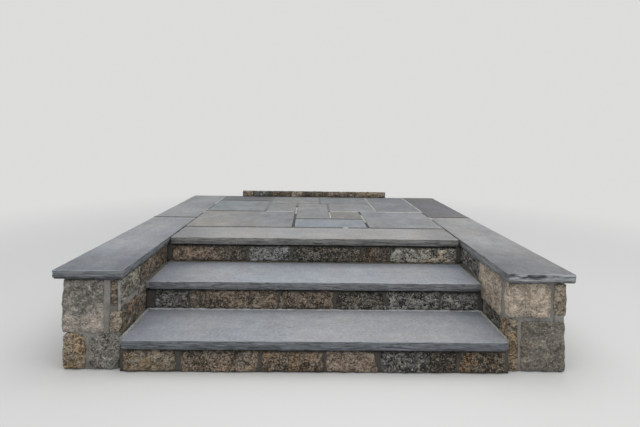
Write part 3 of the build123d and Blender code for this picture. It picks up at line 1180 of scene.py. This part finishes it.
def joint_width(node_before, node_after, axis):
    """Width of the joint between two slabs."""
    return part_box(node_after)[0][axis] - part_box(node_before)[1][axis]


def build_flush_pointing():
    """The struck mortar of each kind: one piece across the landing and one in depth."""
    slab_joint = joint_width("landing_slab_door_right", "landing_slab_right", 0)
    coping_joint = joint_width("left_coping_front", "left_coping_rear", 1)
    for name, (width, tone, seed, joints) in FLUSH_POINTING.items():
        in_depth, across = [], []
        for short, side, *part in joints:
            low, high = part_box(slab_node(short))
            half_joint = (coping_joint if "coping" in short else slab_joint) / 2
            axis = 0 if side in ("left", "right") else 1
            fixed = low[axis] - half_joint if side in ("left", "front") else high[axis] + half_joint
            first, last = low[1 - axis], high[1 - axis]
            ends = [first + share * (last - first) for share in part or (0.0, 1.0)]
            z = high.z - struck_depth
            if axis == 0:
                in_depth.append([(fixed, y, z) for y in ends])
            else:
                across.append([(x, fixed, z) for x in ends])
        run_beads(f"{name}_across", across, 0.030, 0.0085, 0.0018, tone, seed)
        run_beads(f"{name}_in_depth", in_depth, width, 0.0085, 0.0018, tone, seed + 1.0)


def dress_kept_nodes():
    """The concrete core and the pointing keep their own solids and get their finishes."""
    kept = {f"core_{course}_course": concrete for course in ("lower", "middle", "upper")}
    kept |= {f"{place}_pointing": pointing for place in ("landing", "left_coping", "right_coping")}
    for node, finish in kept.items():
        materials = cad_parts[node].data.materials
        materials.clear()
        materials.append(finish)


BACKDROP = (0.72, 0.72, 0.71)
FLOOR_TONE = (0.50, 0.50, 0.49)
SKY_TONE = (0.95, 0.98, 1.0)
LAMP_TONE = (1.0, 0.985, 0.96)
floor_reach = 60.0
haze_start, haze_end = 1.8, 6.0


def light_studio():
    """A pale floor, an even sky and one broad soft lamp overhead."""
    corners = [(x * floor_reach, y * floor_reach, 0) for x, y in ((-1, -1), (1, -1), (1, 1), (-1, 1))]
    floor = place_mesh("studio_floor", corners, [], [(0, 1, 2, 3)])
    material = bpy.data.materials.new("studio_floor")
    graph = blank_graph(material)
    seen = graph.node("ShaderNodeLightPath", output="Is Camera Ray")
    tint = graph.mix(seen, FLOOR_TONE, BACKDROP)
    ground = graph.node("ShaderNodeBsdfDiffuse", {"Color": tint})
    haze = graph.node("ShaderNodeEmission", {"Color": BACKDROP, "Strength": 1.0})
    hazy = graph.vector("LENGTH", {0: graph.place}, "Value").step(haze_start, haze_end) * seen
    shader = graph.node("ShaderNodeMixShader", {0: hazy, 1: ground, 2: haze})
    graph.node("ShaderNodeOutputMaterial", {"Surface": shader})
    floor.data.materials.append(material)

    world = bpy.data.worlds.new("studio")
    bpy.context.scene.world = world
    graph = blank_graph(world)
    backdrop = 0.0
    for ray in ("Is Camera Ray", "Is Glossy Ray", "Is Transmission Ray"):
        backdrop = graph.math("MAXIMUM", backdrop, graph.node("ShaderNodeLightPath", output=ray))
    sky = graph.node("ShaderNodeBackground", {"Color": SKY_TONE, "Strength": 0.62})
    pale = graph.node("ShaderNodeBackground", {"Color": BACKDROP, "Strength": 1.0})
    blend = graph.node("ShaderNodeMixShader", {0: backdrop, 1: sky, 2: pale})
    graph.node("ShaderNodeOutputWorld", {"Surface": blend})

    lamp = bpy.data.lights.new("overhead_lamp", "AREA")
    lamp.shape = "RECTANGLE"
    lamp.size, lamp.size_y = 6.0, 5.0
    lamp.energy = 150.0
    lamp.color = LAMP_TONE
    holder = bpy.data.objects.new("overhead_lamp", lamp)
    holder.location = (0.6, -1.6, 4.8)
    aim = Vector((0.0, 0.0, 0.2)) - holder.location
    holder.rotation_euler = aim.to_track_quat("-Z", "Y").to_euler()
    bpy.context.scene.collection.objects.link(holder)


# Camera, solved from the edges of the steps in the photograph
camera_place = Vector((-0.0368, -3.639, 1.2618))
camera_yaw, camera_pitch, camera_roll = 0.0173, -0.0037, 0.0146
camera_lens = 24.19
camera_shift = (0.0009, -0.126)


def set_camera():
    """Stand the camera in front of the steps."""
    turn = Matrix.Rotation(-camera_yaw, 4, "Z") @ Matrix.Rotation(math.pi / 2 - camera_pitch, 4, "X")
    turn = turn @ Matrix.Rotation(camera_roll, 4, "Z")
    lens = bpy.data.cameras.new("camera")
    lens.lens = camera_lens
    lens.sensor_width = 36.0
    lens.shift_x, lens.shift_y = camera_shift
    camera = bpy.data.objects.new("camera", lens)
    camera.matrix_world = Matrix.Translation(camera_place) @ turn
    bpy.context.scene.collection.objects.link(camera)
    bpy.context.scene.camera = camera


set_camera()
light_studio()
dress_kept_nodes()
build_risers()
build_cheek_wall(
    "left", -1, random.Random(41), wandering(0.198, 0.016, 1.3, 0.6), (290, 0.3), (330, 0.0), 11.0
)
build_cheek_wall(
    "right", 1, random.Random(52), wandering(0.286, 0.014, 1.5, 2.1), (250, 0.0), (320, 0.45), 21.0
)
build_rear_wall()
build_sill_course()
build_tread_joints()
build_slabs()
build_flush_pointing()

bpy.context.scene.view_settings.view_transform = "Standard"
